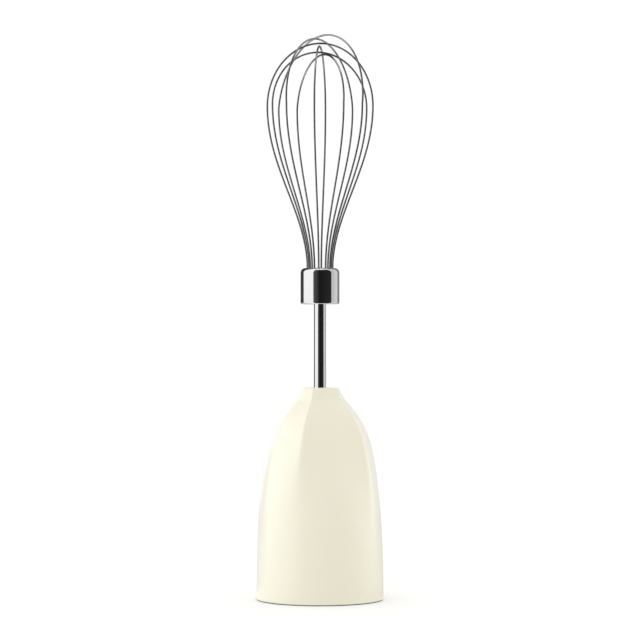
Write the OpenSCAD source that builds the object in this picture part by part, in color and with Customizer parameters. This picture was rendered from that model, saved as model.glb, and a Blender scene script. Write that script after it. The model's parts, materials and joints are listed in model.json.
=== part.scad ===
/* [Bell] */
// Height of the bell from the standing face to the top of its neck
bell_h = 110; // [106:1:116]
// Radius of the bell at its rim
bell_rim_r = 33.05; // [32.5:0.05:34]
// Radius of the neck's top edge, measured at the facet edges
neck_r = 9.8; // [9.6:0.1:11]
// Height of the point where the shoulder turns into the neck
shoulder_z = 103.5; // [102:0.5:104.5]
// Radius of the bell at that point
shoulder_r = 13.45; // [13:0.05:14.5]
// Radial wall of the bell
bell_wall = 2.3; // [1.8:0.1:2.4]
// How flat the facets are at the neck, 1 for a true polygon
facet_flatness = 0.9; // [0:0.05:0.95]
// Height where the facet edges to the left of the front facet fade out
left_fade_z = 46; // [30:1:60]
// Height where the facet edges to the right of the front facet fade out
right_fade_z = 20; // [10:1:40]

/* [Coupling socket] */
// Radius of the bore that the motor handle pushes into
socket_r = 25; // [24:0.5:25]
// Depth of that bore
socket_depth = 22; // [18:1:22]
// Wall of the socket tube
socket_wall = 2.5; // [2:0.1:3]
// Thickness of the socket's floor
floor_t = 3; // [2.5:0.5:3]
// Width of the two latch windows
latch_w = 10; // [6:1:14]
// Width of the two key grooves
key_w = 4; // [2:0.5:6]

/* [Gearbox] */
// Face width of the gears
face_w = 8.8; // [6:0.2:8.8]
// Radius of the planet pins
pin_r = 1.5; // [1.2:0.1:1.8]
// Radius of the output spindle
spindle_r = 4.3; // [4.2:0.1:4.3]
// Radial running clearance of shafts in their bores
run_fit = 0.05; // [0.02:0.01:0.08]
// Radial gap of pieces that are pressed or glued together
seat_fit = 0.02; // [0.01:0.01:0.03]

/* [Whisk] */
// Radius of the whisk's rod
rod_r = 3.15; // [3:0.05:3.2]
// Radius of the ferrule
ferrule_r = 10.1; // [9.6:0.1:11]
// Height of the ferrule's lower face
ferrule_z = 153.4; // [150:0.2:160]
// Length of the ferrule
ferrule_h = 18.8; // [16:0.2:20]
// Radius of the whisk wire
wire_r = 0.5; // [0.45:0.05:0.6]
// Radius at which the wires leave the ferrule
leg_r = 6.6; // [6.2:0.1:7]
// Widest radius of the balloon, to the wire's centre
balloon_r = 27.6; // [24:0.2:30]
// Height of the widest place
widest_z = 256.4; // [245:0.2:262]
// Height of the lowest loop's crown, to the wire's centre
lowest_crown_z = 282.8; // [278:0.2:284]

/* [Hidden] */
$fn = 96;
eps = 0.01;
through = 1;          // how far a cut runs past the face it opens

// Bell
facet_step = 40;      // angle between facet edges; the front facet spans two steps
shell_step = 5;       // angle between the shell's columns
lower_rings = 22;     // rings of the shell below the shoulder point
neck_rings = 5;       // rings of the shell above it
cavity_top_z = 103;   // ceiling of the bell's cavity
cavity_lift = 1.2;    // makes the wall thicker where the shoulder slopes
neck_hole_r = 4.9;    // the spindle turns inside this hole
rim_z = 0.4;          // the bell's rim stands this far above the socket's standing face

// Coupling socket
flange_r = bell_rim_r - 0.65;
spigot_r = bell_rim_r - bell_wall - 0.2;
spigot_top = 4;
floor_top = socket_depth + floor_t;
tube_r = socket_r + socket_wall;
drive_hole_r = 9.2;
plate_bore_r = drive_hole_r - 0.2;
latch_z = 8;
latch_h = 6;
key_depth = 1.2;
key_top = 14;
screw_count = 3;
screw_start = 30;     // angle of the first screw
screw_circle_r = 22.2;
screw_r = 1.25;
screw_head_r = 2.2;
screw_head_h = 1.6;
screw_room = 0.2;     // the screws pass through the socket's floor with this much room
screw_top = 32;

// Neck gasket
gasket_inner_r = 5.6;
gasket_outer_r = 7.2;

// Gears; with these counts three evenly spaced planets mesh with the sun and the ring
gear_m = 0.8;
sun_teeth = 15;       // on each sun and each planet
planets = 3;
ring_teeth = 3 * sun_teeth;
pressure = 20;
addendum = 0.9 * gear_m;
ring_addendum = 0.75 * gear_m;
dedendum = 1.2 * gear_m;
backlash = 0.1;       // taken off each tooth's thickness
flank_steps = 4;
planet_circle_r = gear_m * sun_teeth;
shaft_r = 2.5;
stub_r = 3;

// Heights through the gearbox
plate_top = 29;
washer_t = 0.6;
washer_bore_r = 7.4;
gear_gap = 0.6;       // between the planets and the carrier above them
stage_1_z = 29.9;
carrier_1_z = stage_1_z + face_w + gear_gap;
carrier_1_t = 3;
carrier_1_top = carrier_1_z + carrier_1_t;
stage_2_z = carrier_1_top + 1.1;
carrier_2_z = stage_2_z + face_w + gear_gap;
carrier_2_t = 4;
carrier_2_top = carrier_2_z + carrier_2_t;
carrier_r = 16.5;
carrier_window_r = 2.6;
pilot_r = 1.5;
pilot_len = 3;
ring_z = plate_top + seat_fit;
ring_top = carrier_2_z;
ring_r = 20.2;
ring_key = 0.8;
ring_key_w = 4;
housing_r = 22.5;
housing_flange_r = 26.5;
housing_flange_t = 4;
ceiling_z = carrier_2_top + 0.6;
shoulder_in = 4;      // the housing slopes in this far above the gears
nose_r = 8;
nose_top = 101;
nose_chamfer = 1;
bush_r = 6;
bush_len = 10;
lower_bush_z = ceiling_z + 1;
upper_bush_z = 88;
nose_bore_r = 5.7;
seal_z = upper_bush_z + bush_len + 0.1;
seal_top = nose_top - 0.1;
seal_lip_h = 0.6;
spindle_z = carrier_2_z + 1.4;
spindle_seat_r = spindle_r - 1;
spindle_top = 109.5;
hex_z = 72;
hex_len = 10;
hex_af = 5;
rod_bore_r = rod_r + run_fit;
clip_t = 0.7;
clip_z = lower_bush_z + bush_len + 0.4;
clip_groove = 0.4;
clip_slot = 2.4;      // the gap in each circlip
detent_z = 95;
detent_h = 1.2;
detent_depth = 0.7;

// Drive coupler
coupler_z = socket_depth + 0.3;
coupler_r = 6.6;
coupler_collar = 1.4; // the collar stands out this far
coupler_collar_t = 0.9;
coupler_top = 29.8;
coupler_clip_t = 0.5;
dog_af = 8;
dog_depth = 4.6;

// Whisk
rod_z = hex_z + 1;
ferrule_top = ferrule_z + ferrule_h;
ferrule_wall = 0.8;
plug_r = ferrule_r - ferrule_wall - 0.05;
plug_z = ferrule_z + 1.1;
plug_top = ferrule_top - 0.6;
rod_top = plug_top - 3;
lip_inner_r = 7.6;    // opening in the ferrule's rolled lip
wire_foot_z = plug_z + 1.5;
wire_hole_r = wire_r + 0.05;
// The six loops stand about 30 degrees apart, each bent a little out of its even place
first_loop_angle = 4;
loop_step = 30;
loop_skew = [3.5, -2.5, 0, 2, -2, 0];
// Height of each loop's crown above the lowest one, and how far it leans along its own plane
crown_rise = [1.5, 8.3, 4.6, 0, 10.3, 6.2];
crown_lean = [0, -2.6, 0, -3, -4, 0];
wire_sides = 8;
flare_rings = 18;
crown_rings = 20;
flare_shape = 0.95;

ivory = [0.93, 0.91, 0.83];
dark_plastic = [0.22, 0.22, 0.23];
nylon = [0.90, 0.89, 0.85];
steel = [0.74, 0.75, 0.77];
bronze = [0.70, 0.52, 0.28];
black = [0.08, 0.08, 0.08];

// ---- Bell profile and section ----

function cubic(a, b, c, d, u) =
    pow(1 - u, 3) * a + 3 * u * pow(1 - u, 2) * b + 3 * u * u * (1 - u) * c + pow(u, 3) * d;
function quad(a, b, c, u) = (1 - u) * (1 - u) * a + 2 * u * (1 - u) * b + u * u * c;

// [radius, height] up the bell at the facet edges: a long shoulder, then a short flared neck
shoulder_start = [bell_rim_r, rim_z];
shoulder_pull_1 = [bell_rim_r - 0.65, 81.7];
shoulder_pull_2 = [shoulder_r + 13.3, shoulder_z - 15];
shoulder_end = [shoulder_r, shoulder_z];
neck_pull = [shoulder_r - 1.1, shoulder_z + 1.35];
neck_end = [neck_r, bell_h];
profile = concat(
    [for (i = [0 : lower_rings])
        cubic(shoulder_start, shoulder_pull_1, shoulder_pull_2, shoulder_end, i / lower_rings)],
    [for (i = [1 : neck_rings]) quad(shoulder_end, neck_pull, neck_end, i / neck_rings)]);

function smooth(t) = let (c = min(1, max(0, t))) c * c * (3 - 2 * c);

// Angle from the middle of the front facet, -180 to 180
function front_angle(a) = a > 180 ? a - 360 : a;
// Middle and half width of the facet that holds angle a
function facet_mid(a) = abs(a) < facet_step ? 0 : sign(a) * (floor(abs(a) / facet_step) + 0.5) * facet_step;
function facet_half(a) = abs(a) < facet_step ? facet_step : facet_step / 2;
// The facet edges fade lower down on the right side than on the left
function fade_z(a) = let (side = abs(a) < facet_step ? a / facet_step
        : abs(a) > 4 * facet_step ? sign(a) * (180 - abs(a)) / (facet_step / 2) : sign(a))
    left_fade_z + (right_fade_z - left_fade_z) * (side + 1) / 2;
function flatness(a, z) = facet_flatness * smooth((z - fade_z(a)) / (96 - fade_z(a)));
function section_r(r, a, z) = r * (1 - flatness(a, z)
    * (1 - cos(facet_half(a)) / cos(a - facet_mid(a))));

shell_columns = 360 / shell_step;
function shell_ring(r, z, wall, z_flat) = [for (i = [0 : shell_columns - 1])
    let (a = front_angle(i * shell_step), s = section_r(r, a, z_flat) - wall)
    [s * sin(a), -s * cos(a), z]];
function round_ring(r, z) = [for (i = [0 : shell_columns - 1])
    [r * sin(i * shell_step), -r * cos(i * shell_step), z]];

// Cavity rings follow the profile inside the wall, from the rim up to the ceiling
cavity_profile = [for (i = [0 : len(profile) - 1]) let (p = profile[i])
    if (p[1] - cavity_lift < cavity_top_z - 0.6 && (i % 2 == 0 || i == lower_rings + 1)) p];

outer_shell_rings = concat(
    [for (p = profile) shell_ring(p[0], p[1], 0, p[1])],
    [round_ring(neck_hole_r, bell_h), round_ring(neck_hole_r, cavity_top_z)],
    [for (i = [len(cavity_profile) - 1 : -1 : 0]) let (p = cavity_profile[i])
        shell_ring(p[0], i == 0 ? rim_z : i == len(cavity_profile) - 1 ? cavity_top_z
            : p[1] - cavity_lift, bell_wall, p[1])]);

// Closed ring of rings: each ring joins the next, and the last joins the first
function loop_faces(rings, columns) = [for (j = [0 : rings - 1], i = [0 : columns - 1], k = [0, 1])
    let (a = j * columns, b = ((j + 1) % rings) * columns, n = (i + 1) % columns)
    k == 0 ? [a + i, b + i, a + n] : [a + n, b + i, b + n]];

module outer_shell() {
    color(ivory)
        polyhedron([for (ring = outer_shell_rings) each ring],
            loop_faces(len(outer_shell_rings), shell_columns), convexity = 6);
}

// ---- Fixed pieces ----

module on_circle(r, count = planets, start = 0) {
    for (i = [0 : count - 1]) rotate([0, 0, start + i * 360 / count]) translate([r, 0, 0]) children();
}

module ring_of(inner, outer, z, h) {
    translate([0, 0, z]) rotate_extrude() translate([inner, 0]) square([outer - inner, h]);
}

module coupling_socket() {
    color(dark_plastic) difference() {
        rotate_extrude() polygon([[socket_r, 0], [flange_r, 0], [flange_r, rim_z], [spigot_r, rim_z],
            [spigot_r, spigot_top], [tube_r + 1, spigot_top], [tube_r, spigot_top + 1],
            [tube_r, floor_top], [drive_hole_r, floor_top], [drive_hole_r, socket_depth],
            [socket_r, socket_depth]]);
        for (side = [0, 180]) rotate([0, 0, side]) {
            translate([socket_r - through, -key_w / 2, -through])
                cube([through + key_depth, key_w, key_top + through]);
            rotate([0, 0, 90]) translate([socket_r - through, -latch_w / 2, latch_z])
                cube([socket_wall + 2 * through, latch_w, latch_h]);
        }
        on_circle(screw_circle_r, screw_count, screw_start) translate([0, 0, socket_depth - through]) {
            cylinder(r = screw_r + screw_room, h = floor_t + 2 * through);
            cylinder(r = screw_head_r + screw_room, h = screw_head_h + through + 0.1);
        }
    }
}

module neck_gasket() {
    color(black) ring_of(gasket_inner_r, gasket_outer_r, nose_top, cavity_top_z - nose_top);
}

module gearbox_housing() {
    color(nylon) difference() {
        rotate_extrude() polygon([[ring_r + seat_fit, plate_top], [housing_flange_r, plate_top],
            [housing_flange_r, plate_top + housing_flange_t], [housing_r, plate_top + housing_flange_t + 1],
            [housing_r, ceiling_z - 1.5], [housing_r - shoulder_in, ceiling_z + shoulder_in - 1.5],
            [nose_r + 2, lower_bush_z + bush_len / 2], [nose_r, lower_bush_z + bush_len - 2],
            [nose_r, nose_top - nose_chamfer], [nose_r - nose_chamfer, nose_top],
            [bush_r + seat_fit, nose_top], [bush_r + seat_fit, upper_bush_z], [nose_bore_r, upper_bush_z],
            [nose_bore_r, lower_bush_z + bush_len], [bush_r + seat_fit, lower_bush_z + bush_len],
            [bush_r + seat_fit, ceiling_z], [carrier_r + 1, ceiling_z],
            [carrier_r + 1, ring_top + seat_fit], [ring_r + seat_fit, ring_top + seat_fit]]);
        on_circle(ring_r - through) translate([0, -ring_key_w / 2 - seat_fit, plate_top - through])
            cube([through + ring_key + 2 * seat_fit, ring_key_w + 2 * seat_fit,
                ring_top - plate_top + through]);
        on_circle(screw_circle_r, screw_count, screw_start) translate([0, 0, plate_top - through])
            cylinder(r = screw_r + seat_fit, h = screw_top + 0.5 - plate_top + through);
    }
}

module bearing_plate() {
    color(nylon) difference() {
        ring_of(plate_bore_r, housing_flange_r, floor_top, plate_top - floor_top);
        on_circle(screw_circle_r, screw_count, screw_start) translate([0, 0, floor_top - through])
            cylinder(r = screw_r + seat_fit, h = plate_top - floor_top + 2 * through);
    }
}

module input_bush() {
    foot_z = floor_top - 1.6;
    color(bronze) ring_of(coupler_r + run_fit, plate_bore_r - seat_fit, foot_z, plate_top - foot_z);
}

module lower_thrust_washer() {
    color(bronze) ring_of(washer_bore_r, carrier_r, plate_top + run_fit, washer_t);
}

module lower_output_bush() {
    color(bronze) ring_of(spindle_r + run_fit, bush_r, lower_bush_z, bush_len);
}

module upper_output_bush() {
    color(bronze) ring_of(spindle_r + run_fit, bush_r, upper_bush_z, bush_len);
}

module shaft_seal() {
    color(black) rotate_extrude() polygon([[spindle_r + 1, seal_z], [bush_r, seal_z], [bush_r, seal_top],
        [spindle_r + run_fit, seal_top], [spindle_r + run_fit, seal_top - seal_lip_h],
        [spindle_r + 1, seal_top - 2 * seal_lip_h]]);
}

module housing_screws() {
    head_z = socket_depth + 0.05;
    slot_w = 0.8;
    slot_len = 1.2 * screw_head_r;
    slot_depth = 0.9;
    color(steel) on_circle(screw_circle_r, screw_count, screw_start) difference() {
        union() {
            translate([0, 0, head_z]) cylinder(r = screw_head_r, h = screw_head_h);
            translate([0, 0, head_z]) cylinder(r = screw_r, h = screw_top - head_z);
        }
        for (a = [0, 90]) rotate([0, 0, a])
            translate([-slot_len / 2, -slot_w / 2, head_z - through])
                cube([slot_len, slot_w, through + slot_depth]);
    }
}

// ---- Gears ----

function involute(p) = tan(p) - p * PI / 180;
// Half angle of a tooth at radius r, for a gear of n teeth whose teeth are thinned by cut
function half_angle(n, r, cut) =
    let (pitch = gear_m * n / 2, base = pitch * cos(pressure), p = r > base ? acos(base / r) : 0)
    (PI / 2 / n - cut / 2 / pitch + involute(pressure) - involute(p)) * 180 / PI;

// Outline of n teeth between radii root and tip, the first one centred on +X
function teeth(n, root, tip, cut) =
    let (start = max(root, gear_m * n / 2 * cos(pressure)),
        radii = concat(root < start ? [root] : [],
            [for (i = [0 : flank_steps]) start + (tip - start) * i / flank_steps]))
    [for (t = [0 : n - 1], side = [-1, 1], i = [0 : len(radii) - 1])
        let (r = radii[side < 0 ? i : len(radii) - 1 - i], a = t * 360 / n + side * half_angle(n, r, cut))
        r * [cos(a), sin(a)]];

pitch_r = gear_m * sun_teeth / 2;
ring_pitch_r = gear_m * ring_teeth / 2;

module spur_gear(bore, z, h) {
    translate([0, 0, z]) linear_extrude(h) difference() {
        polygon(teeth(sun_teeth, pitch_r - dedendum, pitch_r + addendum, backlash));
        circle(bore);
    }
}

module planet_gear(index, z) {
    color(nylon) rotate([0, 0, index * 360 / planets]) translate([planet_circle_r, 0, 0])
        spur_gear(pin_r + run_fit, z, face_w);
}

module ring_gear() {
    color(nylon) difference() {
        union() {
            translate([0, 0, ring_z]) cylinder(r = ring_r, h = ring_top - ring_z);
            on_circle(ring_r - through) translate([0, -ring_key_w / 2, ring_z])
                cube([through + ring_key, ring_key_w, ring_top - ring_z]);
        }
        translate([0, 0, ring_z - through]) linear_extrude(ring_top - ring_z + 2 * through)
            polygon(teeth(ring_teeth, ring_pitch_r - ring_addendum, ring_pitch_r + dedendum, -backlash));
    }
}

// ---- Drive ----

module drive_coupler() {
    color(dark_plastic) difference() {
        union() {
            translate([0, 0, coupler_z]) cylinder(r = coupler_r, h = coupler_top - coupler_z);
            translate([0, 0, coupler_z]) cylinder(r = coupler_r + coupler_collar, h = coupler_collar_t);
        }
        translate([0, 0, coupler_z - through])
            cylinder(d = dog_af / cos(30), h = dog_depth + through, $fn = 6);
        translate([0, 0, coupler_z]) cylinder(r = shaft_r + seat_fit, h = coupler_top);
        ring_of(coupler_r - clip_groove, coupler_r + through, plate_top + run_fit, coupler_clip_t + 0.1);
    }
}

module input_shaft() {
    shaft_z = coupler_z + dog_depth + run_fit;
    shaft_top = carrier_1_z - 0.3;
    color(steel) {
        translate([0, 0, shaft_z]) cylinder(r = shaft_r, h = shaft_top - shaft_z);
        translate([0, 0, shaft_top]) cylinder(r = pilot_r, h = pilot_len);
    }
}

module first_sun_gear() {
    color(steel) spur_gear(shaft_r + seat_fit, stage_1_z, face_w);
}

module input_circlip() {
    outer_r = coupler_r + 0.7;
    color(steel) difference() {
        ring_of(coupler_r - clip_groove + seat_fit, outer_r, plate_top + 2 * run_fit, coupler_clip_t);
        translate([0, -clip_slot / 2, plate_top - through]) cube([outer_r + 1, clip_slot, 3 * through]);
    }
}

// ---- Carriers ----

module pins(bottom, top) {
    color(steel) on_circle(planet_circle_r) translate([0, 0, bottom]) cylinder(r = pin_r, h = top - bottom);
}

module carrier_disc(z, t, bore) {
    difference() {
        translate([0, 0, z]) cylinder(r = carrier_r, h = t);
        on_circle(planet_circle_r) translate([0, 0, z - through])
            cylinder(r = pin_r + seat_fit, h = t + 2 * through);
        on_circle(planet_circle_r, planets, 180 / planets) translate([0, 0, z - through])
            cylinder(r = carrier_window_r, h = t + 2 * through);
        translate([0, 0, z - through]) cylinder(r = bore, h = pilot_len + 2 * through);
    }
}

module first_carrier() {
    socket_top = carrier_1_top + 2;
    stub_top = carrier_2_z - 0.5;
    color(steel) union() {
        carrier_disc(carrier_1_z, carrier_1_t, pilot_r + run_fit);
        ring_of(pilot_r + run_fit, stub_r, carrier_1_top, socket_top - carrier_1_top);
        translate([0, 0, socket_top]) cylinder(r = stub_r, h = stub_top - socket_top);
        translate([0, 0, stub_top]) cylinder(r = pilot_r, h = pilot_len - 1);
    }
}

module first_planet_pins() {
    pins(stage_1_z - 0.1, carrier_1_top);
}

module second_sun_gear() {
    bottom = carrier_1_top + washer_t + 0.2;
    color(steel) spur_gear(stub_r + seat_fit, bottom, carrier_2_z - 0.4 - bottom);
}

module middle_thrust_washer() {
    color(bronze) ring_of(washer_bore_r, carrier_r - 0.5, carrier_1_top + seat_fit, washer_t);
}

module second_carrier() {
    color(steel) difference() {
        carrier_disc(carrier_2_z, carrier_2_t, pilot_r + run_fit);
        translate([0, 0, spindle_z]) cylinder(r = spindle_seat_r + seat_fit, h = carrier_2_t);
    }
}

module second_planet_pins() {
    pins(stage_2_z - 0.1, carrier_2_top);
}

module output_spindle() {
    color(steel) difference() {
        union() {
            translate([0, 0, spindle_z + seat_fit]) cylinder(r = spindle_seat_r, h = carrier_2_t);
            translate([0, 0, carrier_2_top + seat_fit])
                cylinder(r = spindle_r, h = spindle_top - carrier_2_top - seat_fit);
        }
        translate([0, 0, spindle_z - through]) cylinder(r = pilot_r + run_fit, h = pilot_len);
        translate([0, 0, hex_z]) cylinder(d = (hex_af + 0.1) / cos(30), h = hex_len + eps, $fn = 6);
        translate([0, 0, hex_z + hex_len]) cylinder(r = rod_bore_r, h = spindle_top);
        ring_of(rod_bore_r - 0.5, rod_bore_r + 0.25, detent_z - detent_h / 2, detent_h);
        ring_of(spindle_r - clip_groove, spindle_r + through, clip_z, clip_t + 0.1);
    }
}

module spindle_circlip() {
    color(steel) difference() {
        ring_of(spindle_r - clip_groove + seat_fit, spindle_r + 1.1, clip_z + run_fit, clip_t);
        translate([0, -clip_slot / 2, clip_z - through])
            cube([spindle_r + 2, clip_slot, clip_t + 2 * through]);
    }
}

// ---- Whisk ----

module whisk_rod() {
    hex_top = hex_z + hex_len;
    shoulder_gap = 0.3;
    color(steel) difference() {
        union() {
            translate([0, 0, rod_z]) cylinder(d = hex_af / cos(30), h = hex_top - rod_z + eps, $fn = 6);
            translate([0, 0, hex_top]) cylinder(r = hex_af / 2, h = 2 * shoulder_gap);
            translate([0, 0, hex_top + shoulder_gap])
                cylinder(r = rod_r, h = rod_top - hex_top - shoulder_gap);
        }
        ring_of(rod_r - detent_depth, rod_r + through, detent_z - detent_h / 2, detent_h);
    }
}

module rod_snap_ring() {
    ring_h = detent_h - 0.2;
    slot_w = 1.2;
    color(steel) difference() {
        ring_of(rod_r - detent_depth + run_fit, rod_r + seat_fit, detent_z - ring_h / 2, ring_h);
        translate([0, -slot_w / 2, detent_z - through]) cube([rod_r + 1, slot_w, 2 * through]);
    }
}

module ferrule() {
    foot_round = 1;
    lip_round = 2.4;
    straight_r = ferrule_r - lip_round;
    color(steel) rotate_extrude() difference() {
        union() {
            translate([0, ferrule_z + foot_round]) square([ferrule_r, ferrule_h - foot_round - lip_round]);
            translate([0, ferrule_z]) square([ferrule_r - foot_round, foot_round + eps]);
            translate([ferrule_r - foot_round, ferrule_z + foot_round]) quarter_disc(foot_round, -1);
            translate([0, ferrule_top - lip_round - eps]) square([straight_r, lip_round + eps]);
            translate([straight_r, ferrule_top - lip_round]) quarter_disc(lip_round, 1);
        }
        translate([-through, ferrule_z - through])
            square([rod_r + seat_fit + through, ferrule_h + 2 * through]);
        translate([0, plug_z - 0.1])
            square([ferrule_r - ferrule_wall, ferrule_top - lip_round - plug_z + 0.1]);
        translate([0, ferrule_z + 2]) square([lip_inner_r + 0.1, ferrule_h]);
        translate([straight_r, ferrule_top - lip_round]) circle(lip_round - ferrule_wall);
        translate([0, ferrule_top - lip_round - 1]) square([straight_r, lip_round + 1 - ferrule_wall]);
    }
}

// Quarter of a disc beyond the axis, above it for side 1 and below it for side -1
module quarter_disc(r, side) {
    intersection() {
        circle(r);
        translate([0, side > 0 ? 0 : -r]) square(r);
    }
}

module ferrule_plug() {
    shoulder = 2.4;
    color(dark_plastic) difference() {
        rotate_extrude() polygon([[rod_r + seat_fit, plug_z], [plug_r, plug_z],
            [plug_r, plug_top - shoulder], [lip_inner_r, plug_top - 0.4], [lip_inner_r, plug_top],
            [rod_r + seat_fit, plug_top]]);
        for (i = [0 : len(loop_skew) - 1]) on_circle(leg_r, 2, loop_angle(i))
            translate([0, 0, wire_foot_z - 0.2]) cylinder(r = wire_hole_r, h = ferrule_h);
    }
}

function loop_angle(index) = first_loop_angle + index * loop_step + loop_skew[index];

// Half of a loop's path in its own plane, [distance from the axis, height], from foot to crown
function flare_r(z) = leg_r + (balloon_r - leg_r)
    * (1 - cos(180 * pow((z - ferrule_top) / (widest_z - ferrule_top), flare_shape))) / 2;
function half_loop(rise, lean) =
    let (crown = lowest_crown_z + rise - widest_z)
    concat([[leg_r, wire_foot_z]],
        [for (i = [0 : flare_rings - 1]) let (z = ferrule_top + (widest_z - ferrule_top) * i / flare_rings)
            [flare_r(z), z]],
        [for (i = [0 : crown_rings]) let (a = 90 * i / crown_rings)
            [balloon_r * cos(a) + lean * sin(a), widest_z + crown * sin(a)]]);
function mirrored(path) = [for (i = [len(path) - 2 : -1 : 0]) [-path[i][0], path[i][1]]];
// The whole loop; a leaning crown leans the same way on both halves
function loop_path(rise, lean) = concat(half_loop(rise, lean), mirrored(half_loop(rise, -lean)));

function unit(v) = v / norm(v);
function tangent(path, i) =
    unit(path[min(i + 1, len(path) - 1)] - path[max(i - 1, 0)]);
function wire_ring(path, i) = let (t = tangent(path, i), side = [t[1], -t[0]])
    [for (k = [0 : wire_sides - 1]) let (a = 360 * k / wire_sides, p = path[i] + side * wire_r * cos(a))
        [p[0], wire_r * sin(a), p[1]]];

module swept_wire(path) {
    count = len(path);
    points = [for (i = [0 : count - 1]) each wire_ring(path, i)];
    sides = [for (i = [0 : count - 2], k = [0 : wire_sides - 1], half = [0, 1])
        let (a = i * wire_sides, b = a + wire_sides, n = (k + 1) % wire_sides)
        half == 0 ? [a + k, b + k, a + n] : [a + n, b + k, b + n]];
    foot = [for (k = [0 : wire_sides - 1]) k];
    end = [for (k = [wire_sides - 1 : -1 : 0]) (count - 1) * wire_sides + k];
    polyhedron(points, concat(sides, [foot, end]), convexity = 4);
}

module wire_loop(index) {
    color(steel) rotate([0, 0, loop_angle(index)])
        swept_wire(loop_path(crown_rise[index], crown_lean[index]));
}

outer_shell();
coupling_socket();
neck_gasket();
gearbox_housing();
bearing_plate();
input_bush();
ring_gear();
lower_thrust_washer();
lower_output_bush();
upper_output_bush();
shaft_seal();
housing_screws();
drive_coupler();
input_shaft();
first_sun_gear();
input_circlip();
first_carrier();
first_planet_pins();
second_sun_gear();
middle_thrust_washer();
planet_gear(0, stage_1_z);  // first_planet_gear_a
planet_gear(1, stage_1_z);  // first_planet_gear_b
planet_gear(2, stage_1_z);  // first_planet_gear_c
planet_gear(0, stage_2_z);  // second_planet_gear_a
planet_gear(1, stage_2_z);  // second_planet_gear_b
planet_gear(2, stage_2_z);  // second_planet_gear_c
second_carrier();
second_planet_pins();
output_spindle();
spindle_circlip();
whisk_rod();
rod_snap_ring();
ferrule();
ferrule_plug();
wire_loop(0);  // wire_loop_1
wire_loop(1);  // wire_loop_2
wire_loop(2);  // wire_loop_3
wire_loop(3);  // wire_loop_4
wire_loop(4);  // wire_loop_5
wire_loop(5);  // wire_loop_6
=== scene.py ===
"""Whisk attachment of a hand blender: the looks of every piece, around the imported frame."""
import json
import math

import bmesh
import bpy
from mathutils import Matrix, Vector


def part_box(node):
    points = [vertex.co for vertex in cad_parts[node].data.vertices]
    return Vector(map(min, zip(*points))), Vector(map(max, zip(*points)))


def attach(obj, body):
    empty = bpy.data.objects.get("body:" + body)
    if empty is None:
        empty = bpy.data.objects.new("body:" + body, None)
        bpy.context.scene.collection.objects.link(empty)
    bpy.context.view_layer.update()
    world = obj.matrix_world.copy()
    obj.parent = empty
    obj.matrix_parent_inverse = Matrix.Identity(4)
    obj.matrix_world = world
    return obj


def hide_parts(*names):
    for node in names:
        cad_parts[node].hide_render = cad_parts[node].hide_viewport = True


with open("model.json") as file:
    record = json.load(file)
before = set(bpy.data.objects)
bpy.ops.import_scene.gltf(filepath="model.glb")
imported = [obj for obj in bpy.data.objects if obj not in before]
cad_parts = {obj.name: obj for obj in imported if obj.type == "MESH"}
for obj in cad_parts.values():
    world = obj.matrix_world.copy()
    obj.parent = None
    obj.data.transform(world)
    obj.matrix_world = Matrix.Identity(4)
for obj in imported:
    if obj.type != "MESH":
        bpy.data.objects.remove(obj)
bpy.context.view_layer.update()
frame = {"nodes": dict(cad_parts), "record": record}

MM = 0.001


def top(node):
    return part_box(node)[1].z


def bottom(node):
    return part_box(node)[0].z


def radius(node):
    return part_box(node)[1].x


# ---- Camera: level with the middle of the object, far off, at the photograph's angle ----

CAMERA_AZIMUTH = -20.0        # degrees round from the front, towards -X
CAMERA_DISTANCE = 1.331
CAMERA_HEIGHT = 0.1452
CAMERA_LENS, CAMERA_SENSOR = 144.0, 36.0


def around(angle, distance, height=0.0):
    """The point at an angle from the camera's side of the object, positive to the camera's right."""
    heading = math.radians(-90 + CAMERA_AZIMUTH + angle)
    return Vector((distance * math.cos(heading), distance * math.sin(heading), height))


def make_camera():
    data = bpy.data.cameras.new("camera")
    data.lens = CAMERA_LENS
    data.sensor_width = CAMERA_SENSOR
    camera = bpy.data.objects.new("camera", data)
    camera.location = around(0, CAMERA_DISTANCE, CAMERA_HEIGHT)
    camera.rotation_euler = (math.radians(90), 0, math.radians(CAMERA_AZIMUTH))
    bpy.context.scene.collection.objects.link(camera)
    bpy.context.scene.camera = camera


# ---- Materials ----

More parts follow.
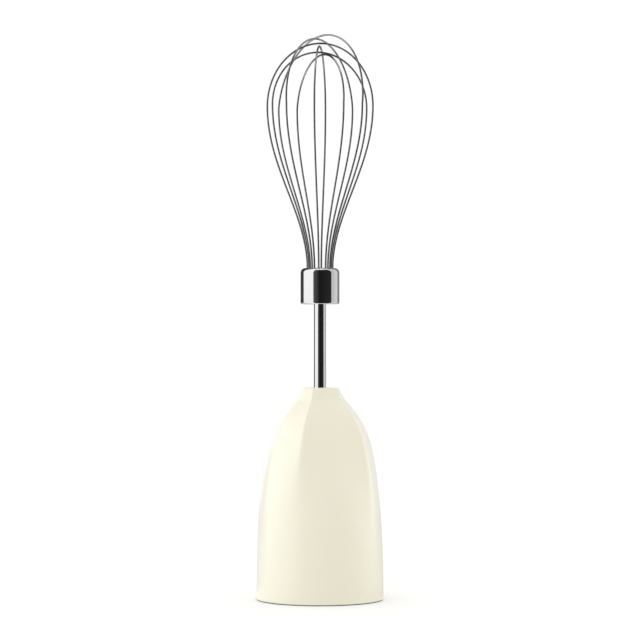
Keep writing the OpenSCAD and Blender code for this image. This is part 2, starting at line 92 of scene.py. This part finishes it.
class Surface:
    """A Principled material, with short calls for its noise, ramps and bump."""

    def __init__(self, name, **plain):
        self.material = bpy.data.materials.new(name)
        self.material.use_nodes = True
        self.tree = self.material.node_tree
        self.shader = self.tree.nodes["Principled BSDF"]
        self.place = self.tree.nodes.new("ShaderNodeTexCoord").outputs["Object"]
        for socket, value in plain.items():
            self.shader.inputs[socket.replace("_", " ")].default_value = value

    def noise(self, scale, detail=3.0, stretch=(1, 1, 1), rough=0.5):
        mapping = self.tree.nodes.new("ShaderNodeMapping")
        mapping.inputs["Scale"].default_value = stretch
        self.tree.links.new(self.place, mapping.inputs["Vector"])
        noise = self.tree.nodes.new("ShaderNodeTexNoise")
        noise.inputs["Scale"].default_value = scale
        noise.inputs["Detail"].default_value = detail
        noise.inputs["Roughness"].default_value = rough
        self.tree.links.new(mapping.outputs["Vector"], noise.inputs["Vector"])
        return noise.outputs["Fac"]

    def spread(self, factor, low, high, start=0.3, end=0.7):
        """Maps a factor's middle range onto low to high."""
        node = self.tree.nodes.new("ShaderNodeMapRange")
        for socket, value in zip(("From Min", "From Max", "To Min", "To Max"), (start, end, low, high)):
            node.inputs[socket].default_value = value
        self.tree.links.new(factor, node.inputs["Value"])
        return node.outputs["Result"]

    def tones(self, factor, *stops):
        """Base colour from a ramp of (position, colour) stops."""
        ramp = self.tree.nodes.new("ShaderNodeValToRGB")
        elements = ramp.color_ramp.elements
        while len(elements) < len(stops):
            elements.new(0.5)
        for element, (position, color) in zip(elements, stops):
            element.position = position
            element.color = (*color, 1)
        self.tree.links.new(factor, ramp.inputs["Fac"])
        self.tree.links.new(ramp.outputs["Color"], self.shader.inputs["Base Color"])

    def join(self, first, second, operation="ADD"):
        node = self.tree.nodes.new("ShaderNodeMath")
        node.operation = operation
        self.tree.links.new(first, node.inputs[0])
        self.tree.links.new(second, node.inputs[1])
        return node.outputs["Value"]

    def feed(self, factor, socket):
        self.tree.links.new(factor, self.shader.inputs[socket])

    def bump(self, factor, strength, distance):
        node = self.tree.nodes.new("ShaderNodeBump")
        node.inputs["Strength"].default_value = strength
        node.inputs["Distance"].default_value = distance
        self.tree.links.new(factor, node.inputs["Height"])
        self.tree.links.new(node.outputs["Normal"], self.shader.inputs["Normal"])


def tint(color, gain):
    return tuple(min(1.0, c * gain) for c in color)


def ivory_plastic():
    """Glossy ivory moulding: faint flow tones, a fine orange peel and a few wiping marks."""
    ivory = (0.80, 0.765, 0.62)
    s = Surface("ivory_plastic", IOR=1.5, Coat_Weight=0.2, Coat_Roughness=0.15,
                Subsurface_Weight=0.06, Subsurface_Scale=0.002)
    flow = s.noise(14, 2, (1, 1, 0.35))
    s.tones(flow, (0.3, tint(ivory, 0.985)), (0.55, ivory), (0.8, tint(ivory, 1.015)))
    wipes = s.spread(s.noise(120, 4, (1, 1, 0.08)), 0, 0.05, 0.5, 0.75)
    s.feed(s.join(s.spread(s.noise(45, 3), 0.28, 0.34), wipes), "Roughness")
    s.bump(s.noise(1400, 2), 0.05, 0.1 * MM)
    return s.material


def polished_steel(name, tone, low, high):
    """Mirror-polished steel with hair-fine turning lines round the axis."""
    s = Surface(name, Metallic=1.0)
    lines = s.noise(60, 4, (1, 1, 70))
    smudge = s.noise(90, 3)
    s.tones(smudge, (0.3, tint(tone, 0.97)), (0.7, tone))
    s.feed(s.join(s.spread(lines, low, high), s.spread(smudge, 0, 0.03, 0.45, 0.8)), "Roughness")
    s.bump(lines, 0.03, 0.02 * MM)
    return s.material


def wire_steel():
    """Drawn and tumbled wire: bright, with faint lengthwise drawing marks."""
    tone = (0.42, 0.42, 0.425)
    s = Surface("wire_steel", Metallic=1.0)
    draw = s.noise(900, 3, (1, 1, 0.03))
    s.tones(s.noise(70, 2), (0.3, tint(tone, 0.94)), (0.7, tone))
    s.feed(s.spread(draw, 0.05, 0.12), "Roughness")
    s.bump(draw, 0.04, 0.02 * MM)
    return s.material


def machined_steel():
    """Turned and ground steel, duller than the polished pieces."""
    tone = (0.60, 0.61, 0.63)
    s = Surface("machined_steel", Metallic=1.0)
    rings = s.noise(80, 4, (1, 1, 40))
    s.tones(s.noise(150, 3), (0.3, tint(tone, 0.9)), (0.7, tone))
    s.feed(s.spread(rings, 0.28, 0.42), "Roughness")
    s.bump(rings, 0.12, 0.03 * MM)
    return s.material


def sintered_bronze():
    """Oil-filled sintered bronze: pores and oil-dark patches."""
    tone = (0.62, 0.43, 0.22)
    s = Surface("sintered_bronze", Metallic=1.0)
    pores = s.noise(1800, 2)
    s.tones(s.join(pores, s.noise(120, 3), "MULTIPLY"), (0.12, tint(tone, 0.55)), (0.3, tone))
    s.feed(s.spread(pores, 0.36, 0.55), "Roughness")
    s.bump(pores, 0.25, 0.05 * MM)
    return s.material


def nylon():
    """Natural nylon: waxy, with a little light inside it."""
    tone = (0.83, 0.81, 0.74)
    s = Surface("nylon", IOR=1.53, Subsurface_Weight=0.15, Subsurface_Scale=0.002)
    s.tones(s.noise(60, 3), (0.3, tint(tone, 0.95)), (0.7, tone))
    s.feed(s.spread(s.noise(250, 3), 0.38, 0.5), "Roughness")
    s.bump(s.noise(1500, 2), 0.08, 0.05 * MM)
    return s.material


def dark_plastic(name, tone, low, high):
    """Glass-filled plastic with a spark-eroded grain."""
    s = Surface(name, IOR=1.5)
    grain = s.noise(2600, 2)
    s.tones(s.join(s.noise(90, 3), grain, "MULTIPLY"), (0.1, tint(tone, 0.8)), (0.4, tint(tone, 1.1)))
    s.feed(s.spread(grain, low, high), "Roughness")
    s.bump(grain, 0.2, 0.05 * MM)
    return s.material


def seal_rubber():
    """Black rubber with a soft bloom."""
    s = Surface("seal_rubber", IOR=1.5, Sheen_Weight=0.15)
    bloom = s.noise(300, 4)
    s.tones(bloom, (0.3, (0.02, 0.02, 0.02)), (0.75, (0.045, 0.045, 0.045)))
    s.feed(s.spread(bloom, 0.6, 0.8), "Roughness")
    s.bump(s.noise(2200, 2), 0.2, 0.05 * MM)
    return s.material


MATERIALS = {
    "shell_ivory": ivory_plastic(),
    "socket_plastic": dark_plastic("socket_plastic", (0.055, 0.055, 0.06), 0.42, 0.6),
    "gear_nylon": nylon(),
    "seal_rubber": seal_rubber(),
    "machined_steel": machined_steel(),
    "bush_bronze": sintered_bronze(),
    "polished_steel": polished_steel("polished_steel", (0.86, 0.86, 0.86), 0.03, 0.08),
    "wire_steel": wire_steel(),
    "plug_plastic": dark_plastic("plug_plastic", (0.05, 0.05, 0.055), 0.35, 0.5),
}
NODE_SLOT = {part["node"]: part["material_slot"] for part in frame["record"]["subparts"]}
NODE_BODY = {node: body for body, nodes in frame["record"]["behaviour"]["bodies"].items() for node in nodes}


def dress_cad_nodes():
    for node, piece in frame["nodes"].items():
        for place in piece.material_slots:
            place.material = MATERIALS[NODE_SLOT[node]]


# ---- Meshes from rings ----

EDGE_ANGLE = 35       # degrees between faces from which their edge is a sharp one


def circle(r, z, count):
    turn = [math.tau * i / count for i in range(count)]
    return [(r * math.cos(a), r * math.sin(a), z) for a in turn]


def skin(name, rings, closed=False, crease=EDGE_ANGLE):
    """A mesh through rings of equally many points, closed end to end or else capped at both ends."""
    mesh = bpy.data.meshes.new(name)
    bm = bmesh.new()
    verts = [[bm.verts.new(p) for p in ring] for ring in rings]
    count = len(rings[0])
    for j in range(len(rings) if closed else len(rings) - 1):
        low, high = verts[j], verts[(j + 1) % len(rings)]
        for i in range(count):
            n = (i + 1) % count
            bm.faces.new((low[i], low[n], high[n], high[i]))
    if not closed:
        bm.faces.new(reversed(verts[0]))
        bm.faces.new(verts[-1])
    bmesh.ops.recalc_face_normals(bm, faces=bm.faces)
    for face in bm.faces:
        face.smooth = True
    bm.to_mesh(mesh)
    bm.free()
    mesh.set_sharp_from_angle(angle=math.radians(crease))
    return mesh


def arc(centre, r, start, end, steps=6):
    """Points of an arc in the (radius, height) plane, angles in degrees."""
    angles = [math.radians(start + (end - start) * i / steps) for i in range(steps + 1)]
    return [(centre[0] + r * math.cos(a), centre[1] + r * math.sin(a)) for a in angles]


def lathe(name, outline, count=160):
    """Turns a closed outline of (radius, height) points about the axis."""
    return skin(name, [circle(r, z, count) for r, z in outline], closed=True)


def show(name, mesh, node, *more_nodes):
    piece = bpy.data.objects.new(name, mesh)
    bpy.context.scene.collection.objects.link(piece)
    mesh.materials.append(MATERIALS[NODE_SLOT[node]])
    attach(piece, NODE_BODY[node])
    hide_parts(node, *more_nodes)
    return piece


# ---- Bell ----

RIM_R = radius("outer_shell")
RIM_Z = bottom("outer_shell")
BELL_TOP = top("outer_shell")
NECK_R = 9.8 * MM
SHOULDER = (13.45 * MM, 103.5 * MM)
FACET_STEP = 40.0
FLATNESS = 0.9
LEFT_FADE, RIGHT_FADE, FULL_FACET = 46 * MM, 20 * MM, 96 * MM
CAVITY_TOP = 103 * MM
NECK_HOLE_R = 4.9 * MM
BELL_WALL = 2.3 * MM
CAVITY_LIFT = 1.2 * MM            # makes the wall thicker where the shoulder slopes
CEILING_U = 0.99                  # how far up the shoulder curve the cavity goes
RIM_ROUND, TOP_ROUND, HOLE_ROUND = 0.45 * MM, 0.55 * MM, 0.4 * MM
SOFT_EDGE_LOW_Z, SOFT_EDGE_HIGH_Z = 40 * MM, 100 * MM
CRISP_EDGE, SOFT_EDGE = 1.3, 5.0  # degrees a facet edge is rounded over at the neck, and added below
BELL_COLUMNS = 480
SHOULDER_RINGS, NECK_RINGS, CAVITY_RINGS = 110, 24, 14


def cubic(points, u):
    weights = ((1 - u) ** 3, 3 * u * (1 - u) ** 2, 3 * u * u * (1 - u), u ** 3)
    return tuple(sum(w * p[k] for w, p in zip(weights, points)) for k in (0, 1))


def quad(points, u):
    weights = ((1 - u) ** 2, 2 * u * (1 - u), u * u)
    return tuple(sum(w * p[k] for w, p in zip(weights, points)) for k in (0, 1))


SHOULDER_CURVE = ((RIM_R, RIM_Z), (RIM_R - 0.65 * MM, 81.7 * MM),
                  (SHOULDER[0] + 13.3 * MM, SHOULDER[1] - 15 * MM), SHOULDER)
NECK_CURVE = (SHOULDER, (SHOULDER[0] - 1.1 * MM, SHOULDER[1] + 1.35 * MM), (NECK_R, BELL_TOP))


def smooth(t):
    t = min(1.0, max(0.0, t))
    return t * t * (3 - 2 * t)


def facet_r(a, z):
    """
    The bell's radius over its radius at the facet edges, at angle a from the front facet's middle.

    The front facet spans two steps, the others one, and each edge fades out at its own height.
    """
    a = (a + 180) % 360 - 180
    side = 1 if a >= 0 else -1
    if abs(a) < FACET_STEP:
        middle, half, slide = 0.0, FACET_STEP, a / FACET_STEP
    else:
        middle = side * (math.floor(abs(a) / FACET_STEP) + 0.5) * FACET_STEP
        half = FACET_STEP / 2
        slide = side * (180 - abs(a)) / half if abs(a) > 4 * FACET_STEP else side
    fade = LEFT_FADE + (RIGHT_FADE - LEFT_FADE) * (slide + 1) / 2
    flat = FLATNESS * smooth((z - fade) / (FULL_FACET - fade))
    return 1 - flat * (1 - math.cos(math.radians(half)) / math.cos(math.radians(a - middle)))


def soft_facet_r(a, z):
    """The same with its edges rounded, crisply at the neck and more widely where they fade."""
    reach = CRISP_EDGE + SOFT_EDGE * smooth((SOFT_EDGE_HIGH_Z - z) / (SOFT_EDGE_HIGH_Z - SOFT_EDGE_LOW_Z))
    shifts = (-1.0, -0.6, -0.2, 0.2, 0.6, 1.0)
    return sum(facet_r(a + reach * s, z) for s in shifts) / len(shifts)


def bell_ring(r, z, inset=0.0, z_facets=None):
    ring = []
    for i in range(BELL_COLUMNS):
        a = 360 * i / BELL_COLUMNS
        here = r * soft_facet_r(a, z if z_facets is None else z_facets) - inset
        ring.append((here * math.sin(math.radians(a)), -here * math.cos(math.radians(a)), z))
    return ring


def round_ring(r, z):
    turn = [math.tau * i / BELL_COLUMNS for i in range(BELL_COLUMNS)]
    return [(r * math.sin(a), -r * math.cos(a), z) for a in turn]


def make_bell():
    """Rings up the outside with a rounded rim, over the neck's rounded top, and down the cavity."""
    steps = 6
    quarter = [math.radians(90 * i / steps) for i in range(steps + 1)]
    side = [cubic(SHOULDER_CURVE, i / SHOULDER_RINGS) for i in range(SHOULDER_RINGS + 1)]
    side += [quad(NECK_CURVE, i / NECK_RINGS) for i in range(1, NECK_RINGS + 1)]
    rings = [bell_ring(RIM_R, RIM_Z + RIM_ROUND * (1 - math.sin(t)), RIM_ROUND * (1 - math.cos(t)))
             for t in reversed(quarter)]
    rings += [bell_ring(r, z) for r, z in side if RIM_Z + RIM_ROUND < z < BELL_TOP - TOP_ROUND]
    rings += [bell_ring(NECK_R, BELL_TOP - TOP_ROUND * (1 - math.sin(t)), TOP_ROUND * (1 - math.cos(t)))
              for t in quarter]
    rings += [round_ring(NECK_HOLE_R + HOLE_ROUND * (1 - math.sin(t)),
                         BELL_TOP - HOLE_ROUND * (1 - math.cos(t))) for t in quarter]
    rings.append(round_ring(NECK_HOLE_R, CAVITY_TOP))
    for i in range(CAVITY_RINGS, -1, -1):
        r, z = cubic(SHOULDER_CURVE, CEILING_U * i / CAVITY_RINGS)
        inner_z = CAVITY_TOP if i == CAVITY_RINGS else max(RIM_Z, z - CAVITY_LIFT)
        rings.append(bell_ring(r, inner_z, BELL_WALL, z))
    return show("ivory_bell", skin("ivory_bell", rings, closed=True, crease=50), "outer_shell")


# ---- Whisk ----

LOOP_ANGLES = (7.5, 31.5, 64.0, 96.0, 122.0, 154.0)  # degrees from the X axis
LEG_R = 6.6 * MM
WIRE_R = 0.5 * MM
BALLOON_R = 27.6 * MM
WIDEST_Z = 256.4 * MM
LOWEST_CROWN = 282.8 * MM
CROWN_RISE = (1.5, 8.3, 4.6, 0.0, 10.3, 6.2)     # millimetres above the lowest crown
CROWN_LEAN = (0.0, -2.6, 0.0, -3.0, -4.0, 0.0)   # millimetres along the loop's own plane
FLARE_SHAPE = 0.95                               # below 1, the flare starts nearer to the ferrule
FLARE_STEPS, CROWN_STEPS, WIRE_SIDES = 70, 64, 20
FOOT_DEPTH = 2.6 * MM                            # from the ferrule's lower face up to the wires' ends
FOOT_Z = bottom("ferrule") + FOOT_DEPTH
FERRULE_TOP = top("ferrule")


def half_loop(rise, lean):
    """Half of a loop in its own plane, as (distance from the axis, height), from foot to crown."""
    crown = LOWEST_CROWN + rise - WIDEST_Z
    path = [(LEG_R, FOOT_Z), (LEG_R, (FOOT_Z + FERRULE_TOP) / 2)]
    for i in range(FLARE_STEPS):
        t = i / FLARE_STEPS
        swell = (1 - math.cos(math.pi * t ** FLARE_SHAPE)) / 2
        path.append((LEG_R + (BALLOON_R - LEG_R) * swell, FERRULE_TOP + (WIDEST_Z - FERRULE_TOP) * t))
    for i in range(CROWN_STEPS + 1):
        a = math.pi / 2 * i / CROWN_STEPS
        path.append((BALLOON_R * math.cos(a) + lean * math.sin(a), WIDEST_Z + crown * math.sin(a)))
    return path


def make_wire(index):
    """One loop: both halves swept with a round section that stays square to the path."""
    rise, lean = CROWN_RISE[index] * MM, CROWN_LEAN[index] * MM
    path = half_loop(rise, lean)
    path += [(-x, z) for x, z in reversed(half_loop(rise, -lean)[:-1])]
    heading = math.radians(LOOP_ANGLES[index])
    along = Vector((math.cos(heading), math.sin(heading), 0))
    across = Vector((-math.sin(heading), math.cos(heading), 0))
    up = Vector((0, 0, 1))
    rings = []
    for i, (x, z) in enumerate(path):
        before, after = path[max(i - 1, 0)], path[min(i + 1, len(path) - 1)]
        tangent = Vector((after[0] - before[0], after[1] - before[1])).normalized()
        out = along * tangent.y - up * tangent.x
        centre = along * x + up * z
        turn = [math.tau * k / WIRE_SIDES for k in range(WIRE_SIDES)]
        rings.append([centre + WIRE_R * (out * math.cos(a) + across * math.sin(a)) for a in turn])
    name = f"wire_{index + 1}"
    show(name, skin(name, rings, crease=60), f"wire_loop_{index + 1}")


SEAT_GAP = 0.02 * MM  # between pieces that are pressed or glued together


def make_ferrule():
    """A deep-drawn cup with a rounded foot and a lip rolled in at the top."""
    r, low, high = radius("ferrule"), bottom("ferrule"), top("ferrule")
    foot, lip, wall = 1.0 * MM, 2.4 * MM, 0.8 * MM
    rod_hole = radius("whisk_rod") + SEAT_GAP
    outline = [(rod_hole, low), (r / 2, low)]
    outline += arc((r - foot, low + foot), foot, -90, 0, 8)
    outline += [(r, low + (high - low) * k / 6) for k in range(1, 5)]
    outline += arc((r - lip, high - lip), lip, 0, 90, 14)
    outline += arc((r - lip, high - wall / 2), wall / 2, 90, 270, 8)[1:]
    outline += arc((r - lip, high - lip), lip - wall, 90, 0, 8)[1:]
    outline += [(r - wall, low + wall), (rod_hole, low + wall)]
    show("polished_ferrule", lathe("polished_ferrule", outline), "ferrule")


def make_plug():
    """The moulded core, with a low collar round each wire."""
    low, high, r = bottom("ferrule_plug"), top("ferrule_plug"), radius("ferrule_plug")
    rod_hole = radius("whisk_rod") + SEAT_GAP
    shoulder, neck, edge = 2.4 * MM, 7.6 * MM, 0.3 * MM
    collar_height, collar_wall, collar_round, sunk = 0.3 * MM, 0.35 * MM, 0.12 * MM, 0.1 * MM
    face = high - collar_height
    outline = [(rod_hole, low), (r, low), (r, high - shoulder)]
    outline += arc((neck - edge, face - edge), edge, 0, 90, 5)
    outline += [(rod_hole, face)]
    plug = show("plug_core", lathe("plug_core", outline, 120), "ferrule_plug")
    for leg, angle in enumerate([a + side for side in (0, 180) for a in LOOP_ANGLES]):
        heading = math.radians(angle)
        centre = Vector((LEG_R * math.cos(heading), LEG_R * math.sin(heading), 0))
        inner, outer = WIRE_R + SEAT_GAP, WIRE_R + collar_wall
        section = [(inner, face - sunk), (outer, face - sunk)]
        section += arc((outer - collar_round, high - collar_round), collar_round, 0, 90, 4)
        section += [(inner, high)]
        rings = [[centre + Vector(p) for p in circle(ring_r, z, 24)] for ring_r, z in section]
        name = f"plug_collar_{leg + 1}"
        collar = bpy.data.objects.new(name, skin(name, rings, closed=True))
        collar.data.materials.append(MATERIALS["plug_plastic"])
        bpy.context.scene.collection.objects.link(collar)
        collar.parent = plug


def make_rod():
    """The rod with its chamfered hexagonal tip, its neck and the groove of the snap ring."""
    count = 96
    low, high, r = bottom("whisk_rod"), top("whisk_rod"), radius("whisk_rod")
    flat, corner, hex_length = 2.5 * MM, 2.8 * MM, 9 * MM
    ring_play, groove_depth = 0.1 * MM, 0.7 * MM
    chamfer, edge, neck_length = 0.5 * MM, 0.15 * MM, 0.3 * MM
    blend = 0.05 * MM     # from the hexagon's last ring to the round neck
    hex_top = low + hex_length
    neck_top = hex_top + neck_length
    groove = bottom("rod_snap_ring") - ring_play, top("rod_snap_ring") + ring_play
    groove_r = r - groove_depth

    def hex_ring(limit, z):
        ring = []
        for i in range(count):
            turn = 360 * i / count
            from_flat = math.radians((turn % 60) - 30)
            here = min(flat / math.cos(from_flat), limit)
            ring.append((here * math.cos(math.radians(turn)), here * math.sin(math.radians(turn)), z))
        return ring

    rings = [hex_ring(corner - chamfer, low), hex_ring(corner, low + chamfer),
             hex_ring(corner, hex_top - chamfer), hex_ring(flat, hex_top),
             circle(flat, hex_top + blend, count)]
    for ring_r, z in [(flat, neck_top), (r - edge, neck_top), (r, neck_top + edge),
                      (r, groove[0] - edge), (r - edge, groove[0]), (groove_r, groove[0]),
                      (groove_r, groove[1]), (r - edge, groove[1]), (r, groove[1] + edge),
                      (r, high - edge), (r - edge, high)]:
        rings.append(circle(ring_r, z, count))
    show("polished_rod", skin("polished_rod", rings), "whisk_rod")


def make_softened(node, width):
    """A copy of a CAD node's mesh with its flat areas merged and its edges rounded."""
    mesh = frame["nodes"][node].data.copy()
    mesh.materials.clear()
    bm = bmesh.new()
    bm.from_mesh(mesh)
    weld, flat_angle = 0.002 * MM, math.radians(0.5)
    bmesh.ops.remove_doubles(bm, verts=bm.verts, dist=weld)
    bmesh.ops.dissolve_limit(bm, angle_limit=flat_angle, verts=bm.verts, edges=bm.edges)
    for face in bm.faces:
        face.smooth = True
    bm.to_mesh(mesh)
    bm.free()
    mesh.set_sharp_from_angle(angle=math.radians(EDGE_ANGLE))
    piece = show("soft_" + node, mesh, node)
    bevel = piece.modifiers.new("rounded_edges", "BEVEL")
    bevel.width = width
    bevel.segments = 3
    bevel.limit_method = "ANGLE"
    bevel.angle_limit = math.radians(EDGE_ANGLE)
    bevel.harden_normals = True


# ---- Stage ----

def stage_mesh(name, points, faces):
    mesh = bpy.data.meshes.new(name)
    mesh.from_pydata(points, [], faces)
    piece = bpy.data.objects.new(name, mesh)
    bpy.context.scene.collection.objects.link(piece)
    paint = bpy.data.materials.new(name)
    paint.use_nodes = True
    mesh.materials.append(paint)
    return piece


def make_floor():
    """Plain, pale and matt."""
    size, white, roughness = 6.0, 0.965, 0.7
    corners = [(-size, -size, 0), (size, -size, 0), (size, size, 0), (-size, size, 0)]
    floor = stage_mesh("floor", corners, [(0, 1, 2, 3)])
    shader = floor.active_material.node_tree.nodes["Principled BSDF"]
    shader.inputs["Base Color"].default_value = (white, white, white, 1)
    shader.inputs["Roughness"].default_value = roughness
    shader.inputs["Specular IOR Level"].default_value = 0.0


# Studio cards that only reflections see: from and to, in degrees round the object from the camera's
# side, and the glow at each of those ends
CARDS = {
    "back_left": (-180, -113, 0.05, 0.05),
    "front_left": (-40, -6, 0.09, 0.02),
    "front": (-6, 71, 0.01, 0.024),
    "right": (71, 126, 0.55, 0.76),
    "back_right": (126, 180, 0.24, 0.24),
}
CARD_MIDDLE, CARD_DISTANCE = 0.15, 0.8   # height of the cards' middle, and how far off they stand
CARD_GAP = 0.002                  # left between the cards and the floor
CARD_LOW, CARD_HIGH = -86, 66     # degrees down and up from the cards' middle
CARD_ROWS, CARD_COLUMNS = 18, 24
FLOOR_GLOW = 0.6                  # of the parts that stand in for a bright floor
STEEP = -62                       # rows lower than this, in degrees, are such parts


def make_card(name, start, end, glow_start, glow_end):
    """
    A screen that curves round the object and runs in over the floor under it.

    It stands in for a bright floor close under the object, and behind it wherever it lies on the floor.
    """
    points, glow = [], []
    for i in range(CARD_COLUMNS + 1):
        share = i / CARD_COLUMNS
        for j in range(CARD_ROWS + 1):
            rise = math.radians(CARD_LOW + (CARD_HIGH - CARD_LOW) * j / CARD_ROWS)
            reach = CARD_DISTANCE
            if CARD_MIDDLE + CARD_DISTANCE * math.sin(rise) < CARD_GAP:
                reach = (CARD_GAP - CARD_MIDDLE) / math.sin(rise)
            points.append(around(start + (end - start) * share, reach * math.cos(rise),
                                 CARD_MIDDLE + reach * math.sin(rise)))
            lies_behind = reach < CARD_DISTANCE and name.startswith("back")
            bright = lies_behind or rise < math.radians(STEEP)
            glow.append(FLOOR_GLOW if bright else glow_start + (glow_end - glow_start) * share)
    step = CARD_ROWS + 1
    faces = [(i * step + j, (i + 1) * step + j, (i + 1) * step + j + 1, i * step + j + 1)
             for i in range(CARD_COLUMNS) for j in range(CARD_ROWS)]
    card = stage_mesh(name + "_card", points, faces)
    shades = card.data.color_attributes.new("glow", "FLOAT_COLOR", "POINT")
    for value, g in zip(shades.data, glow):
        value.color = (g, g, g, 1)
    tree = card.active_material.node_tree
    tree.nodes.clear()
    shade = tree.nodes.new("ShaderNodeVertexColor")
    shade.layer_name = "glow"
    emission = tree.nodes.new("ShaderNodeEmission")
    output = tree.nodes.new("ShaderNodeOutputMaterial")
    tree.links.new(shade.outputs["Color"], emission.inputs["Color"])
    tree.links.new(emission.outputs["Emission"], output.inputs["Surface"])
    card.visible_camera = card.visible_diffuse = False
    card.visible_shadow = card.visible_transmission = False


AIM_HEIGHT = 0.12     # every light points at the axis, this high


def make_light(name, angle, distance, height, size, power, color=(1, 1, 1), only=None, gloss_alone=False):
    """A soft box; one made for a single piece also shows in that piece's gloss, or shows there alone."""
    data = bpy.data.lights.new(name, "AREA")
    data.shape = "RECTANGLE"
    data.size, data.size_y = size
    data.energy = power
    data.color = color
    light = bpy.data.objects.new(name, data)
    light.location = around(angle, distance, height)
    aim = Vector((0, 0, AIM_HEIGHT))
    light.rotation_euler = (aim - light.location).to_track_quat("-Z", "Y").to_euler()
    bpy.context.scene.collection.objects.link(light)
    if only is None:
        light.visible_glossy = False
    else:
        lit = bpy.data.collections.new(name + "_lit")
        lit.objects.link(only)
        light.light_linking.receiver_collection = lit
        light.visible_diffuse = not gloss_alone


def make_studio():
    """White surroundings, a pale floor, the cards, and one large soft light overhead."""
    world_strength = 1.04
    world = bpy.data.worlds.new("studio")
    bpy.context.scene.world = world
    world.use_nodes = True
    world.node_tree.nodes["Background"].inputs["Color"].default_value = (1, 1, 1, 1)
    world.node_tree.nodes["Background"].inputs["Strength"].default_value = world_strength
    bpy.context.scene.view_settings.view_transform = "Standard"
    make_floor()
    for name, card in CARDS.items():
        make_card(name, *card)
    make_light("top_light", angle=0, distance=0.05, height=1.6, size=(1.2, 1.2), power=1.5)


def light_bell(bell):
    """Soft boxes for the ivory bell alone, just inside the cards, so that its gloss shows them."""
    cool = (0.93, 0.98, 1.1)
    distance, height = 0.7, 0.19
    # Name, angle, size, power, and whether the box shows in the gloss alone
    boxes = (("left_box", -102, (1.25, 0.8), 3.4, False), ("rear_left_box", -163, (0.47, 1.0), 1.5, True),
             ("rear_right_box", 152, (0.6, 1.0), 1.0, True), ("right_box", 112, (0.27, 0.8), 0.8, False))
    for name, angle, size, power, gloss_alone in boxes:
        make_light(name, angle, distance, height, size, power, cool, bell, gloss_alone)


make_camera()
make_studio()
dress_cad_nodes()
light_bell(make_bell())
for loop in range(len(LOOP_ANGLES)):
    make_wire(loop)
make_ferrule()
make_plug()
make_rod()
make_softened("drive_coupler", 0.2 * MM)
make_softened("housing_screws", 0.12 * MM)
make_softened("output_spindle", 0.1 * MM)
